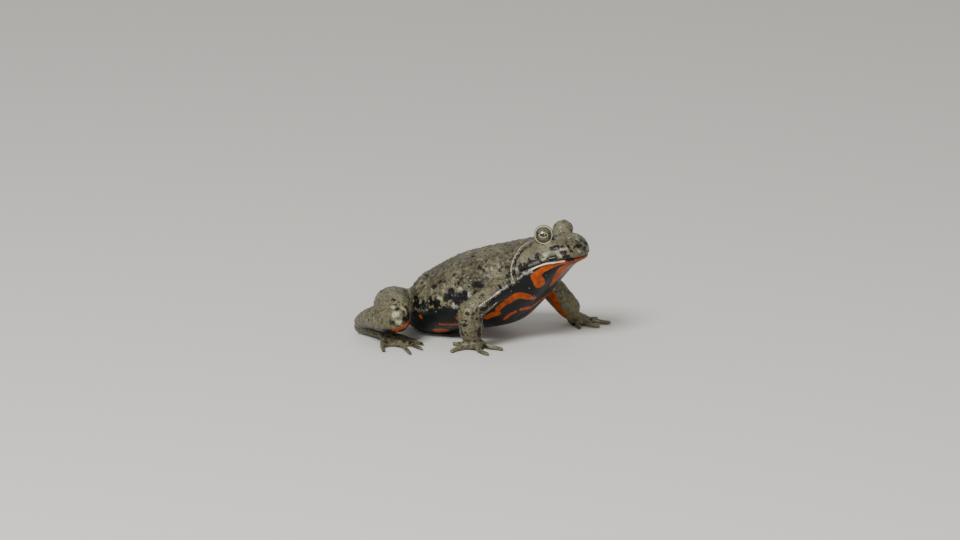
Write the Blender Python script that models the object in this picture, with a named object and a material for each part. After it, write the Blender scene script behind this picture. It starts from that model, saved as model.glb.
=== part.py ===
"""A life-size fire-bellied toad, sitting up on its forelegs, as separate closed body parts.

The toad faces +X with its right side towards -Y. Sizes are in millimetres until MM turns them to
metres. Torso and head are one lofted body that is parted at the neck, each limb is a chain of bent,
tapered segments, and every segment is trimmed back from the one it grows from by a thin gap.
"""

import math
import random

import bmesh
import bpy
from mathutils import Matrix, Vector

MM = 0.001

# Driving dimensions, in millimetres
GAP = 0.3
EYEBALL_RADIUS = 1.65
EYE_BULGE_RADIUS = 2.4
EYE_OUT = 0.8
LID_RADIUS = 0.27
MOUTH_SLOT = 0.34
MOUTH_DEPTH = 0.7
LIP_RADIUS = 0.42
LIP_SHOWS = 0.16
LIP_OFFSET = 0.38
FOLD_RADIUS = 0.55
FOLD_SINK = 0.1
NOSTRIL_RADIUS = 0.34
NOSTRIL_RIM = 0.62
NOSTRIL_RIM_OUT = 0.22
PALM_RADIUS = 1.3
PALM_HEIGHT = 1.05
FINGER_RADIUS = 0.62
TOE_RADIUS = 0.58
WEB_THICKNESS = 0.55
WART_SINK = 0.12
WART_SQUASH = 0.75
WART_SEED = 11
WARTS = {
    # how many, smallest and largest radius
    "head": (22, (0.35, 0.5)),
    "back": (84, (0.45, 0.7)),
    "upper_arm": (6, (0.3, 0.5)),
    "forearm": (5, (0.3, 0.5)),
    "thigh": (10, (0.3, 0.5)),
    "shank": (6, (0.3, 0.5)),
}

# The body from vent to snout: x, height of the widest line, half width, top, underside, squareness
BODY_STATIONS = (
    (-1.0, 4.3, 0.0, 4.3, 4.3, 2.0),
    (-0.7, 4.3, 1.9, 5.3, 3.2, 2.0),
    (0.3, 4.4, 3.7, 6.2, 2.0, 2.0),
    (1.9, 4.8, 5.6, 7.5, 0.9, 2.1),
    (4.2, 5.4, 7.9, 10.4, -0.1, 2.1),
    (6.4, 5.9, 9.8, 12.4, -0.4, 2.1),
    (9.2, 6.5, 11.2, 14.2, -0.4, 2.2),
    (13.2, 7.3, 11.9, 16.3, 0.4, 2.2),
    (18.2, 8.5, 11.4, 17.9, 1.8, 2.2),
    (22.6, 10.2, 10.0, 19.1, 2.7, 2.2),
    (26.2, 12.4, 8.6, 19.9, 3.9, 2.2),
    (29.0, 14.4, 8.0, 20.5, 6.4, 2.3),
    (31.6, 16.0, 7.7, 21.1, 9.4, 2.4),
    (34.2, 17.1, 7.1, 21.6, 12.6, 2.4),
    (36.4, 18.1, 6.3, 21.9, 15.1, 2.4),
    (38.1, 18.6, 5.2, 21.6, 16.4, 2.3),
    (39.2, 18.9, 3.9, 20.9, 17.0, 2.2),
    (39.9, 19.1, 2.5, 20.3, 17.6, 2.1),
    (40.2, 19.4, 0.0, 19.4, 19.4, 2.0),
)
TAIL_END_X = 1.0
NOSE_START_X = 36.0

# Soft swellings of the body on both sides: centre, reach along each axis, height
SWELLINGS = {
    "brow": ((32.7, 4.0, 21.7), (3.2, 2.4, 2.4), 0.6),
    "snout_ridge": ((37.0, 3.2, 21.6), (2.6, 1.2, 1.4), 0.2),
    "behind_eye": ((29.6, 4.8, 20.2), (2.2, 2.2, 2.0), 0.4),
    "jaw_corner": ((29.8, 8.0, 15.0), (2.6, 2.6, 2.6), 0.45),
    "neck_hollow": ((26.0, 8.5, 17.0), (1.7, 3.2, 4.0), -0.45),
    "shoulder": ((21.8, 9.0, 15.5), (3.8, 4.2, 4.2), 0.75),
    "chest": ((21.8, 4.0, 4.2), (4.6, 4.2, 3.2), 0.3),
    "hip": ((6.4, 6.2, 10.6), (3.2, 3.0, 3.0), 0.5),
    "loin": ((10.5, 11.5, 9.0), (2.6, 3.0, 4.0), -0.4),
}

NECK_POINT = (27.0, 0.0, 17.0)
NECK_LEAN_DEG = -10.0
MOUTH_FRONT = (39.7, 0.0, 18.5)
MOUTH_CORNER_X = 29.6
MOUTH_PITCH_DEG = 14.5

# The toad tilts its head a little, so its eyes are set one by one
EYE_CENTRES = {"right": (32.9, -3.95, 22.55), "left": (33.3, 3.95, 22.1)}

# The right side's places, at negative Y, which the left side mirrors. FOLD gives x and height only.
EYE_LOOK = (0.40, -0.90, 0.16)
NOSTRIL = (37.9, -1.4, 21.6)
NOSTRIL_TO_RIM = (-0.15, 0.35, -1.0)
FOLD = ((30.2, 20.6), (28.8, 19.7), (27.9, 18.1), (27.8, 16.0), (28.5, 13.8))

# Limb centre lines, with radii spread evenly along them
UPPER_ARM_RIGHT = ((27.0, -5.6, 13.0), (25.4, -9.6, 11.5), (23.9, -13.0, 9.7), (22.0, -16.2, 8.0))
UPPER_ARM_LEFT = ((27.2, 5.6, 13.2), (26.2, 9.6, 11.8), (25.4, 12.8, 10.2), (24.4, 16.2, 8.4))
UPPER_ARM_RADII = (2.9, 2.4, 2.2, 2.15, 2.3, 2.1)
FOREARM_RIGHT = ((22.2, -16.0, 9.9), (22.1, -15.3, 7.6), (21.8, -14.2, 4.6), (21.6, -13.1, 1.6))
FOREARM_LEFT = ((23.8, 15.2, 9.0), (25.9, 15.5, 6.9), (28.3, 15.8, 4.4), (30.7, 16.0, 1.9))
FOREARM_RADII = (1.9, 2.35, 2.5, 2.45, 2.35, 2.05)
THIGH = ((3.8, -2.6, 5.0), (1.9, -8.2, 6.2), (3.5, -13.4, 7.1), (8.6, -18.5, 7.4))
THIGH_RADII = (2.8, 3.4, 3.6, 3.4, 3.1, 2.9)
SHANK = ((9.9, -18.5, 6.1), (5.2, -18.4, 5.7), (0.0, -15.2, 4.5), (-5.2, -11.2, 2.3))
SHANK_RADII = (2.9, 2.9, 2.8, 2.3, 1.8, 1.4)
TARSUS = ((-5.6, -11.0, 1.6), (-3.0, -11.9, 1.35), (0.2, -13.2, 1.15), (3.6, -14.6, 0.9))
TARSUS_RADII = (1.4, 1.2, 1.05, 1.1, 1.3)

# Where the digits fan from, then each digit's heading in degrees from +X outwards, its length and its bend
HAND_RIGHT = (22.0, -13.4)
HAND_LEFT = (31.4, 16.3)
HAND_FAN_RIGHT = ((188.0, 5.4, -14.0), (112.0, 6.4, -16.0), (40.0, 7.4, -10.0), (-6.0, 6.4, 12.0))
HAND_FAN_LEFT = ((-62.0, 5.0, 14.0), (-16.0, 5.8, 12.0), (24.0, 6.6, -8.0), (72.0, 5.8, -14.0))
FOOT_RIGHT = (3.4, -14.4)
FOOT_FAN = ((-12.0, 6.2, 16.0), (8.0, 8.8, 12.0), (27.0, 11.6, 8.0), (45.0, 14.2, 6.0), (68.0, 11.0, -10.0))
WEB_SHARE = 0.62

OLIVE = (0.16, 0.15, 0.10)
DARK_OLIVE = (0.12, 0.12, 0.085)
GOLD = (0.42, 0.33, 0.12)


def fresh_scene():
    """Empties the scene and returns the collection that holds the toad's parts."""
    for old in list(bpy.data.objects):
        bpy.data.objects.remove(old)
    parts = bpy.data.collections.new("fire_bellied_toad")
    bpy.context.scene.collection.children.link(parts)
    return parts


def skin_material(name, colour, roughness):
    """A plain, damp-looking skin or eye material."""
    made = bpy.data.materials.new(name)
    made.use_nodes = True
    shader = made.node_tree.nodes["Principled BSDF"]
    shader.inputs["Base Color"].default_value = (*colour, 1.0)
    shader.inputs["Roughness"].default_value = roughness
    return made


def through(values, share):
    """The smooth curve through equally spaced values, read at a share of its length from 0 to 1."""
    spans = len(values) - 1
    place = min(max(share, 0.0), 1.0) * spans
    start = min(int(place), spans - 1)
    t = place - start
    found = []
    before, after = values[max(start - 1, 0)], values[min(start + 2, spans)]
    for p0, p1, p2, p3 in zip(before, values[start], values[start + 1], after):
        bend = (2 * p0 - 5 * p1 + 4 * p2 - p3) * t + (3 * p1 - p0 - 3 * p2 + p3) * t * t
        found.append(p1 + 0.5 * t * (p2 - p0 + bend))
    return found


def rounded_power(value, squareness):
    """Cosine or sine bent towards a square, for a superellipse."""
    return math.copysign(abs(value) ** (2.0 / squareness), value)


def swelling(point):
    """How far the soft forms lift the body's surface at a point."""
    lift = 0.0
    for centre, reach, height in SWELLINGS.values():
        offset = (point[0] - centre[0], abs(point[1]) - centre[1], point[2] - centre[2])
        away = sum((d / r) ** 2 for d, r in zip(offset, reach))
        lift += height * math.exp(-away)
    return lift


def body_section(along, around, grow):
    """A point of the plain loft, grown outwards. It never closes up on itself when grow is negative."""
    x, widest, half_width, top, underside, squareness = through(BODY_STATIONS, along)
    half_width = max(half_width, 0.0)
    angle = 2.0 * math.pi * around
    side = -rounded_power(math.cos(angle), squareness)
    rise = rounded_power(math.sin(angle), squareness)
    height = top - widest if rise > 0 else widest - underside
    if grow < 0:
        grow *= min(1.0, half_width / (2.0 * abs(grow)))
    fade = min(1.0, half_width * 4.0)
    nose = max(0.0, (x - NOSE_START_X) / (BODY_STATIONS[-1][0] - NOSE_START_X))
    tail = max(0.0, (TAIL_END_X - x) / (TAIL_END_X - BODY_STATIONS[0][0]))
    x += grow * (nose**2 - tail**2)
    return Vector((x, side * (half_width + grow) * fade, widest + rise * (max(height, 0.0) + grow) * fade))


def body_point(along, around, grow=0.0):
    """A point of the body's surface: along it from vent to snout, around it from the right flank upwards."""
    plain = body_section(along, around, 0.0)
    return body_section(along, around, grow + swelling(plain))


def limb_point(path, radii, flat, along, around, grow=0.0):
    """A point of a bent, tapered bar with rounded ends. Its section is flat times as wide as high."""
    share = 0.5 - 0.5 * math.cos(math.pi * along)
    step = 0.01
    centre = Vector(through(path, share))
    heading = Vector(through(path, share + step)) - Vector(through(path, share - step))
    heading.normalize()
    reference = Vector((1.0, 0.0, 0.0)) if abs(heading.z) > 0.7 else Vector((0.0, 0.0, 1.0))
    side = heading.cross(reference).normalized()
    over = side.cross(heading)
    radius = through([(r,) for r in radii], share)[0] + grow
    end = abs(2.0 * share - 1.0)
    round_off = math.sqrt(max(0.0, 1.0 - end**7))
    angle = 2.0 * math.pi * around
    return centre + round_off * radius * (flat * math.cos(angle) * side + math.sin(angle) * over)


def made_object(name, shape):
    """Turns a bmesh into a linked object."""
    mesh = bpy.data.meshes.new(name)
    shape.to_mesh(mesh)
    shape.free()
    made = bpy.data.objects.new(name, mesh)
    bpy.context.scene.collection.objects.link(made)
    return made


def wrapped(name, surface, along_steps, around_steps):
    """A closed object from a grid wrapped onto surface(along, around), whose two ends close to points."""
    shape = bmesh.new()
    bmesh.ops.create_grid(shape, x_segments=along_steps, y_segments=around_steps, size=0.5)
    for vertex in shape.verts:
        vertex.co = surface(vertex.co.x + 0.5, vertex.co.y + 0.5) * MM
    bmesh.ops.remove_doubles(shape, verts=shape.verts, dist=0.002 * MM)
    bmesh.ops.recalc_face_normals(shape, faces=shape.faces)
    return made_object(name, shape)


def ball(name, centre, radius, rings=9, sides=14):
    """A sphere at a point, both in millimetres."""
    shape = bmesh.new()
    bmesh.ops.create_uvsphere(shape, u_segments=sides, v_segments=rings, radius=radius * MM)
    bmesh.ops.translate(shape, verts=shape.verts, vec=Vector(centre) * MM)
    return made_object(name, shape)


def block(name, low, high):
    """A box between two corners, in millimetres."""
    shape = bmesh.new()
    bmesh.ops.create_cube(shape, size=1.0)
    span = Vector(high) - Vector(low)
    middle = (Vector(high) + Vector(low)) / 2
    bmesh.ops.scale(shape, verts=shape.verts, vec=span * MM)
    bmesh.ops.translate(shape, verts=shape.verts, vec=middle * MM)
    return made_object(name, shape)


def settle(target):
    """Applies the target's modifiers and keeps only its largest closed surface."""
    graph = bpy.context.evaluated_depsgraph_get()
    mesh = bpy.data.meshes.new_from_object(target.evaluated_get(graph))
    target.modifiers.clear()
    target.data = mesh
    shape = bmesh.new()
    shape.from_mesh(mesh)
    unseen = set(shape.verts)
    islands = []
    while unseen:
        frontier = [unseen.pop()]
        island = set(frontier)
        while frontier:
            for edge in frontier.pop().link_edges:
                for vertex in edge.verts:
                    if vertex in unseen:
                        unseen.remove(vertex)
                        island.add(vertex)
                        frontier.append(vertex)
        islands.append(island)
    islands.sort(key=len)
    for scrap in islands[:-1]:
        bmesh.ops.delete(shape, geom=list(scrap), context="VERTS")
    bmesh.ops.triangulate(shape, faces=shape.faces)
    shape.to_mesh(mesh)
    shape.free()


def combine(target, others, operation):
    """Joins others to the target, or cuts them from it, in one Boolean, and removes them."""
    group = bpy.data.collections.new("pieces of " + target.name)
    for other in others:
        group.objects.link(other)
    step = target.modifiers.new(operation.lower(), "BOOLEAN")
    step.operation = operation
    step.operand_type = "COLLECTION"
    step.collection = group
    step.solver = "MANIFOLD"
    settle(target)
    bpy.data.collections.remove(group)
    for other in others:
        bpy.data.objects.remove(other)
    return target


def union(target, others):
    return combine(target, others, "UNION")


def cut(target, others):
    return combine(target, others, "DIFFERENCE")


def mirrored(point):
    """The same place on the toad's other side."""
    return (point[0], -point[1], *point[2:])


def mirrored_path(path):
    return tuple(mirrored(point) for point in path)


def below_floor():
    """Cuts whatever reaches under the floor, which leaves a small flat where a part rests."""
    return block("floor_cut", (-60, -60, -20), (80, 60, 0))


def limb(name, path, radii, flat=1.0, grow=0.0, along_steps=12, around_steps=12):
    return wrapped(
        name, lambda a, b: limb_point(path, radii, flat, a, b, grow), along_steps, around_steps
    )


def body(name, grow=0.0):
    return wrapped(name, lambda a, b: body_point(a, b, grow), 40, 28)


def warts(kind, surface, fits, seed):
    """Low round warts at random places of a surface, each a squashed ball that is half sunk in it."""
    count, radii = WARTS[kind]
    draw = random.Random(seed)
    found, centres = [], []
    while len(found) < count:
        along, around, radius = draw.random(), draw.random(), draw.uniform(*radii)
        root = surface(along, around)
        if not fits(root) or any((root - other).length < 2.1 * radii[1] for other in centres):
            continue
        step = 0.004
        ahead = surface(along + step, around) - surface(along - step, around)
        aside = surface(along, around + step) - surface(along, around - step)
        outward = ahead.cross(aside)
        if outward.dot(root - surface(along, around + 0.5)) < 0:
            outward.negate()
        turn = outward.to_track_quat("Z", "Y").to_matrix().to_4x4()
        seat = Matrix.Translation((root - outward.normalized() * WART_SINK) * MM)
        wart = ball("wart", (0, 0, 0), radius, rings=4, sides=6)
        wart.data.transform(seat @ turn @ Matrix.Diagonal((1.0, 1.0, WART_SQUASH, 1.0)))
        found.append(wart)
        centres.append(root)
    return found


def clear_of(point, path, radii, margin):
    """Whether a point lies further than the margin outside a limb."""
    shares = [step / 16 for step in range(17)]
    return all(
        (point - Vector(through(path, share))).length > through([(r,) for r in radii], share)[0] + margin
        for share in shares
    )


def in_neck_frame(point):
    """How far a point lies in front of the cut across the neck."""
    lean = Matrix.Rotation(math.radians(NECK_LEAN_DEG), 3, "Y")
    return (lean.transposed() @ (point - Vector(NECK_POINT))).x


def above_mouth(point):
    """How far a point lies above the mouth's plane."""
    pitch = Matrix.Rotation(math.radians(-MOUTH_PITCH_DEG), 3, "Y")
    return (pitch.transposed() @ (point - Vector(MOUTH_FRONT))).z


def neck_slab(name, thickness, reach):
    """A plate across the neck: it parts the head from the torso, or takes one of them away."""
    slab = block(name, (0, -20, -25), (thickness, 20, 25))
    lean = Matrix.Rotation(math.radians(NECK_LEAN_DEG), 4, "Y")
    place = Matrix.Translation(Vector(NECK_POINT) * MM)
    slab.data.transform(place @ lean @ Matrix.Translation((reach * MM, 0, 0)))
    return slab


def mouth_slot():
    """The line of the mouth: a thin plate in the mouth's plane with the head's core left out of it."""
    plate = block("mouth_slot", (MOUTH_CORNER_X - 41.0, -12, -MOUTH_SLOT / 2), (3, 12, MOUTH_SLOT / 2))
    pitch = Matrix.Rotation(math.radians(-MOUTH_PITCH_DEG), 4, "Y")
    plate.data.transform(Matrix.Translation(Vector(MOUTH_FRONT) * MM) @ pitch)
    return cut(plate, [body("head_core", -MOUTH_DEPTH)])


def along_at(x):
    """The share of the body's length at which its section lies at x."""
    low, high = 0.0, 1.0
    for _ in range(24):
        middle = (low + high) / 2
        if through(BODY_STATIONS, middle)[0] < x:
            low = middle
        else:
            high = middle
    return high


def around_where(along, measure, low, high):
    """The place around a section, between two places, where a measure of the point changes sign."""
    for _ in range(24):
        middle = (low + high) / 2
        if (measure(body_point(along, middle)) > 0) == (measure(body_point(along, high)) > 0):
            high = middle
        else:
            low = middle
    return high


def lip(name, lift):
    """A low roll along the mouth's edge, from the right corner round the snout to the left corner."""
    steps = 14
    first, last = along_at(MOUTH_CORNER_X), along_at(MOUTH_FRONT[0] + 0.1)
    path = []
    for step in range(steps + 1):
        along = first + (last - first) * step / steps
        around = around_where(along, lambda p: above_mouth(p) - lift, -0.22, 0.22)
        path.append(tuple(body_point(along, around, LIP_SHOWS - LIP_RADIUS)))
    whole = tuple(path) + mirrored_path(path[::-1])
    radii = (0.25, 1.0, 1.0, 1.0, 1.0, 1.0, 1.0, 1.0, 0.25)
    return limb(name, whole, [LIP_RADIUS * r for r in radii], along_steps=28, around_steps=6)


def fold():
    """The fold of skin that runs from behind the eye down to the corner of the jaw, on the right side."""
    path = []
    for x, height in FOLD:
        along = along_at(x)
        around = around_where(along, lambda p, height=height: p.z - height, -0.1, 0.24)
        path.append(tuple(body_point(along, around, -FOLD_SINK)))
    radii = [FOLD_RADIUS * r for r in (0.5, 0.9, 1.0, 0.9, 0.5)]
    return limb("fold_right", path, radii, along_steps=11, around_steps=7)


def looking(centre, look, out):
    """The point a distance out along the eye's line of sight."""
    return Vector(centre) + Vector(look).normalized() * out


def lid_ring(name, centre, look):
    """The raised margin of the lids, a ring round the eye's opening."""
    socket = EYEBALL_RADIUS + GAP
    plane = (EYE_OUT**2 + EYE_BULGE_RADIUS**2 - socket**2) / (2 * EYE_OUT)
    ring = math.sqrt(EYE_BULGE_RADIUS**2 - plane**2)
    turn = Vector(look).to_track_quat("Z", "Y").to_matrix()
    middle = looking(centre, look, plane)

    def surface(along, around):
        sweep, tube = 2 * math.pi * along, 2 * math.pi * around
        out = ring + LID_RADIUS * math.cos(tube)
        lift = LID_RADIUS * math.sin(tube)
        return middle + turn @ Vector((out * math.cos(sweep), out * math.sin(sweep), lift))

    return wrapped(name, surface, 20, 6)


def head_details(head):
    """Joins eye bulges, lids, lips, folds and warts to the head, then cuts sockets, nostrils and mouth."""
    added, taken = [lip("lip_upper", LIP_OFFSET), lip("lip_lower", -LIP_OFFSET)], [mouth_slot()]
    for side, place in (("right", lambda p: p), ("left", mirrored)):
        centre, look = EYE_CENTRES[side], place(EYE_LOOK)
        added.append(ball("bulge_" + side, centre, EYE_BULGE_RADIUS))
        added.append(lid_ring("lids_" + side, centre, look))
        rim = looking(place(NOSTRIL), place(NOSTRIL_TO_RIM), NOSTRIL_RIM_OUT)
        added.append(ball("nostril_rim_" + side, rim, NOSTRIL_RIM, rings=6, sides=9))
        taken.append(ball("socket_" + side, looking(centre, look, EYE_OUT), EYEBALL_RADIUS + GAP))
        taken.append(ball("nostril_" + side, place(NOSTRIL), NOSTRIL_RADIUS, rings=7, sides=9))
    left_fold = fold()
    left_fold.data.transform(Matrix.Diagonal((1, -1, 1, 1)))
    left_fold.data.flip_normals()
    added += [fold(), left_fold]

    def fits(point):
        clear = all((point - Vector(centre)).length > 3.2 for centre in EYE_CENTRES.values())
        clear = clear and all((point - Vector(pit)).length > 1.5 for pit in (NOSTRIL, mirrored(NOSTRIL)))
        return clear and in_neck_frame(point) > 1.0 and above_mouth(point) > 1.6

    added += warts("head", body_point, fits, WART_SEED)
    union(head, added)
    cut(head, taken + [neck_slab("torso_side", 60, -60 + GAP / 2)])


def digit_path(root, heading_deg, length, bend_deg, lift):
    """Four points of a finger or toe that lies along the floor, arched a little and bent sideways."""
    path = [(root[0], root[1], lift[0])]
    for n in range(1, 4):
        turn = math.radians(heading_deg + bend_deg * (n - 2))
        x, y, _ = path[-1]
        path.append((x + math.cos(turn) * length / 3, y - math.sin(turn) * length / 3, lift[n]))
    return path


def digit(name, root, heading_deg, length, bend_deg, radius):
    """A finger or toe with a rounded, slightly swollen tip."""
    path = digit_path(root, heading_deg, length, bend_deg, (1.0, 0.95, radius * 0.8, radius * 0.65))
    radii = [radius * r for r in (1.4, 1.1, 0.92, 0.8, 0.88)]
    return limb(name, path, radii, along_steps=8, around_steps=7)


def web(root, fan, side):
    """The skin between two neighbouring toes: a thin plate with a hollow outer edge."""
    corners = [Vector((root[0], root[1], 0.0))]
    reaches = [length * WEB_SHARE for _, length, _ in fan]
    shorter = min(reaches)
    for share, reach in ((0.0, 1.0), (0.3, 0.87), (0.7, 0.87), (1.0, 1.0)):
        turn = math.radians(fan[0][0] + (fan[1][0] - fan[0][0]) * share)
        corners.append(corners[0] + Vector((math.cos(turn), -math.sin(turn) * side, 0.0)) * shorter * reach)
    shape = bmesh.new()
    rim = [shape.verts.new((point + Vector((0, 0, 0.08))) * MM) for point in corners]
    face = shape.faces.new(rim)
    raised = bmesh.ops.extrude_face_region(shape, geom=[face])
    lifted = [item for item in raised["geom"] if isinstance(item, bmesh.types.BMVert)]
    bmesh.ops.translate(shape, verts=lifted, vec=(0, 0, WEB_THICKNESS * MM))
    bmesh.ops.recalc_face_normals(shape, faces=shape.faces)
    return made_object("web", shape)


def hand(name, root, fan, side):
    """A palm with four fingers spread on the floor."""
    path = (
        (root[0] - 1.9, root[1] - 0.3 * side, PALM_HEIGHT + 0.15),
        (root[0], root[1], PALM_HEIGHT),
        (root[0] + 2.0, root[1], PALM_HEIGHT - 0.25),
    )
    palm = limb(name, path, (PALM_RADIUS, PALM_RADIUS, 0.75 * PALM_RADIUS), flat=1.6, along_steps=10)
    fingers = [
        digit(f"finger_{n}", root, heading * side, length, bend * side, FINGER_RADIUS)
        for n, (heading, length, bend) in enumerate(fan)
    ]
    return union(palm, fingers)


def foot(name, root, side):
    """Five toes that fan from the end of the tarsus, webbed to half their length."""
    path = (
        (root[0] - 1.2, root[1] + 0.6 * side, 0.95),
        (root[0] + 0.8, root[1] - 0.6 * side, 0.85),
        (root[0] + 3.4, root[1] - 2.6 * side, 0.6),
    )
    sole = limb(name, path, (1.1, 1.2, 0.8), flat=1.6, along_steps=10)
    toes = [
        digit(f"toe_{n}", root, heading * side, length, bend * side, TOE_RADIUS)
        for n, (heading, length, bend) in enumerate(FOOT_FAN)
    ]
    webs = [web(root, pair, side) for pair in zip(FOOT_FAN, FOOT_FAN[1:])]
    return union(sole, toes + webs)


def build_body():
    """Torso, head and eyes."""
    head = body("head")
    head_details(head)
    torso = body("torso")

    rooted = [(path, THIGH_RADII) for path in (THIGH, mirrored_path(THIGH))]
    rooted += [(path, UPPER_ARM_RADII) for path in (UPPER_ARM_RIGHT, UPPER_ARM_LEFT)]
    rooted += [(path, SHANK_RADII) for path in (SHANK, mirrored_path(SHANK))]

    def fits(point):
        on_back = in_neck_frame(point) < -1.0 and point.z > 5.0 + 0.25 * point.x and point.x > 0.0
        return on_back and all(clear_of(point, path, radii, 1.1) for path, radii in rooted)

    union(torso, warts("back", body_point, fits, WART_SEED + 1))
    cut(torso, [neck_slab("head_side", 60, -GAP / 2), below_floor()])
    eyes = []
    for side, place in (("right", lambda p: p), ("left", mirrored)):
        centre = looking(EYE_CENTRES[side], place(EYE_LOOK), EYE_OUT)
        eyes.append(ball("eye_" + side, centre, EYEBALL_RADIUS))
    return [torso, head], eyes


def warty_limb(kind, side, path, radii, following, seed):
    """A limb segment with warts on its upper face, clear of the segment that follows it."""
    made = limb(f"{kind}_{side}", path, radii)
    middle = Vector(path[len(path) // 2])

    def fits(point):
        return point.z > middle.z - 0.5 and clear_of(point, *following, 1.0)

    def surface(along, around):
        return limb_point(path, radii, 1.0, along, around)

    return union(made, warts(kind, surface, fits, WART_SEED + seed))


def build_limbs():
    """Both forelegs and hind legs, each segment trimmed back from its neighbours."""
    made = []
    for side, sign, upper, lower, palm, fan in (
        ("right", 1, UPPER_ARM_RIGHT, FOREARM_RIGHT, HAND_RIGHT, HAND_FAN_RIGHT),
        ("left", -1, UPPER_ARM_LEFT, FOREARM_LEFT, HAND_LEFT, HAND_FAN_LEFT),
    ):
        arm = warty_limb("upper_arm", side, upper, UPPER_ARM_RADII, (lower, FOREARM_RADII), 2)
        cut(arm, [body("clear", GAP)])
        wrist = (((*palm, PALM_HEIGHT), (*palm, PALM_HEIGHT)), (PALM_RADIUS, PALM_RADIUS))
        forearm = warty_limb("forearm", side, lower, FOREARM_RADII, wrist, 3)
        above = limb("clear", upper, UPPER_ARM_RADII, grow=GAP)
        cut(forearm, [above, body("clear_body", GAP), below_floor()])
        palm_part = hand("hand_" + side, palm, fan, sign)
        cut(palm_part, [limb("clear", lower, FOREARM_RADII, grow=GAP), below_floor()])
        made += [arm, forearm, palm_part]
        thigh_path = THIGH if sign == 1 else mirrored_path(THIGH)
        shank_path = SHANK if sign == 1 else mirrored_path(SHANK)
        tarsus_path = TARSUS if sign == 1 else mirrored_path(TARSUS)
        foot_root = FOOT_RIGHT if sign == 1 else mirrored(FOOT_RIGHT)
        thigh = warty_limb("thigh", side, thigh_path, THIGH_RADII, (shank_path, SHANK_RADII), 4)
        cut(thigh, [body("clear", GAP)])
        shank = warty_limb("shank", side, shank_path, SHANK_RADII, (tarsus_path, TARSUS_RADII), 5)
        above = limb("clear", thigh_path, THIGH_RADII, grow=GAP)
        cut(shank, [above, body("clear_body", GAP), below_floor()])
        tarsus = limb("tarsus_" + side, tarsus_path, TARSUS_RADII)
        cut(tarsus, [limb("clear", shank_path, SHANK_RADII, grow=GAP), below_floor()])
        foot_part = foot("foot_" + side, foot_root, sign)
        cut(foot_part, [limb("clear", tarsus_path, TARSUS_RADII, grow=GAP), below_floor()])
        made += [thigh, shank, tarsus, foot_part]
    return made


def stand_on_origin(objects):
    """Moves the toad so that the middle of its bounding box's underside is the origin."""
    corners = [vertex.co for part in objects for vertex in part.data.vertices]
    low = Vector(min(corner[axis] for corner in corners) for axis in range(3))
    high = Vector(max(corner[axis] for corner in corners) for axis in range(3))
    shift = Vector(((low.x + high.x) / 2, (low.y + high.y) / 2, low.z))
    for part in objects:
        part.data.transform(Matrix.Translation(-shift))


def main():
    parts = fresh_scene()
    olive = skin_material("olive_skin", OLIVE, 0.45)
    limb_olive = skin_material("limb_skin", DARK_OLIVE, 0.45)
    gold = skin_material("eye", GOLD, 0.12)
    flesh, eyes = build_body()
    limbs = build_limbs()
    for group, finish in ((flesh, olive), (limbs, limb_olive), (eyes, gold)):
        for part in group:
            part.data.materials.clear()
            part.data.materials.append(finish)
            part.data.shade_smooth()
            bpy.context.scene.collection.objects.unlink(part)
            parts.objects.link(part)
    stand_on_origin(flesh + eyes + limbs)


main()
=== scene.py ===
"""A fire-bellied toad at life size, sitting up on its forelegs: one warty skin and two eyes.

The toad faces +X with its right side towards -Y. Its forms are worked out in millimetres in the toad's
own frame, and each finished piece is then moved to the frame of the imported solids, in metres.
"""

import math

import bmesh
import bpy
import numpy as np
from mathutils import Matrix, Vector
from mathutils.kdtree import KDTree


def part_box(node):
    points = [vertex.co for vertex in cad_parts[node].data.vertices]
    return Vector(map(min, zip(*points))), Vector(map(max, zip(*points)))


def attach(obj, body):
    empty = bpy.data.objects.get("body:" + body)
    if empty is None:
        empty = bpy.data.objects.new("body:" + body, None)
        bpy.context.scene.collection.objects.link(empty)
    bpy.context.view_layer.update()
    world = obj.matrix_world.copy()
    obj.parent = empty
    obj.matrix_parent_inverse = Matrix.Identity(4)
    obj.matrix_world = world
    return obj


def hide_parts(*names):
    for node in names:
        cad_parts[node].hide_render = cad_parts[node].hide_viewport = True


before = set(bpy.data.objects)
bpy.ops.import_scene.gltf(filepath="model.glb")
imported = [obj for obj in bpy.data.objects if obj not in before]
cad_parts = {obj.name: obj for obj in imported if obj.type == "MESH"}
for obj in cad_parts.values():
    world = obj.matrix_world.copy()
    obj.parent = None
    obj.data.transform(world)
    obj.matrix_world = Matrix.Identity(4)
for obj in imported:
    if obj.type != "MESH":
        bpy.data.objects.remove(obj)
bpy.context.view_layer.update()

# Where the toad stands
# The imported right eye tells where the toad's own frame lies in the solids' frame. A toad's eyes stand
# high on its head and look out to the side, a little forwards and up.
MM = 0.001
EYE_CENTRES = {"right": np.array((32.9, -3.95, 22.55)), "left": np.array((33.3, 3.95, 22.1))}
EYE_LOOK = np.array((0.40, -0.90, 0.16)) / math.hypot(0.40, 0.90, 0.16)
EYE_OUT = 0.8
EYEBALL_RADIUS = 1.65
TO_LEFT = np.array((1.0, -1.0, 1.0))
EYEBALLS = {
    "right": (EYE_CENTRES["right"] + EYE_LOOK * EYE_OUT, EYE_LOOK),
    "left": (EYE_CENTRES["left"] + EYE_LOOK * EYE_OUT * TO_LEFT, EYE_LOOK * TO_LEFT),
}

eye_low, eye_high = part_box("eye_right")
shift = np.array((eye_low + eye_high) / 2) / MM - EYEBALLS["right"][0]


def placed(mesh):
    """Moves a finished mesh from the toad's frame in millimetres to the solids' frame in metres."""
    mesh.transform(Matrix.Scale(MM, 4) @ Matrix.Translation(shift))


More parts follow.
